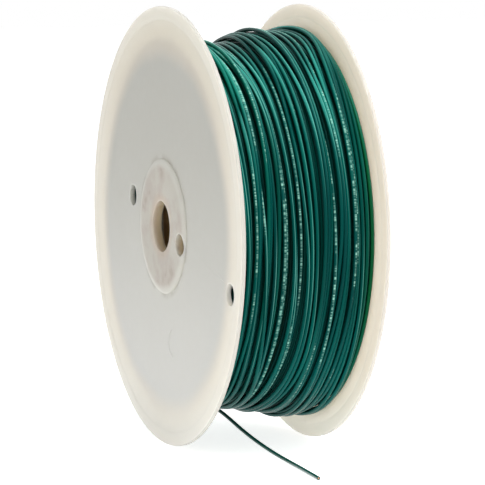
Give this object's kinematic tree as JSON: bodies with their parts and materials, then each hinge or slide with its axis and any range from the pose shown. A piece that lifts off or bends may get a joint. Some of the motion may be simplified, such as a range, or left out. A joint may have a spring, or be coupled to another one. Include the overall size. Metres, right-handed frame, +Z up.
{
  "type": "wire spool",
  "caption": "Moulded two-flange reel of insulated hook-up wire with an arbor bore, drive and wire holes, and a free wire end.",
  "frame": {"origin": "on the floor, midway between the flanges and below the arbor bore", "axes": "+X along the arbor bore, from the flange that faces the viewer to the far one; +Z up; the free wire end lies towards -Y"},
  "size_m": [0.0588, 0.17, 0.1651],
  "materials": {
    "flange_plastic": "satin",
    "barrel_fibre": "matt",
    "inner_layers": "satin",
    "wire_insulation": "gloss",
    "copper": "bright"
  },
  "bodies": {
    "root": {"near_flange": "flange_plastic", "far_flange": "flange_plastic", "barrel_tube": "barrel_fibre", "winding_core": "inner_layers", "outer_winding": "wire_insulation", "wire_tail": "wire_insulation", "conductor": "copper"}
  },
  "joints": []
}
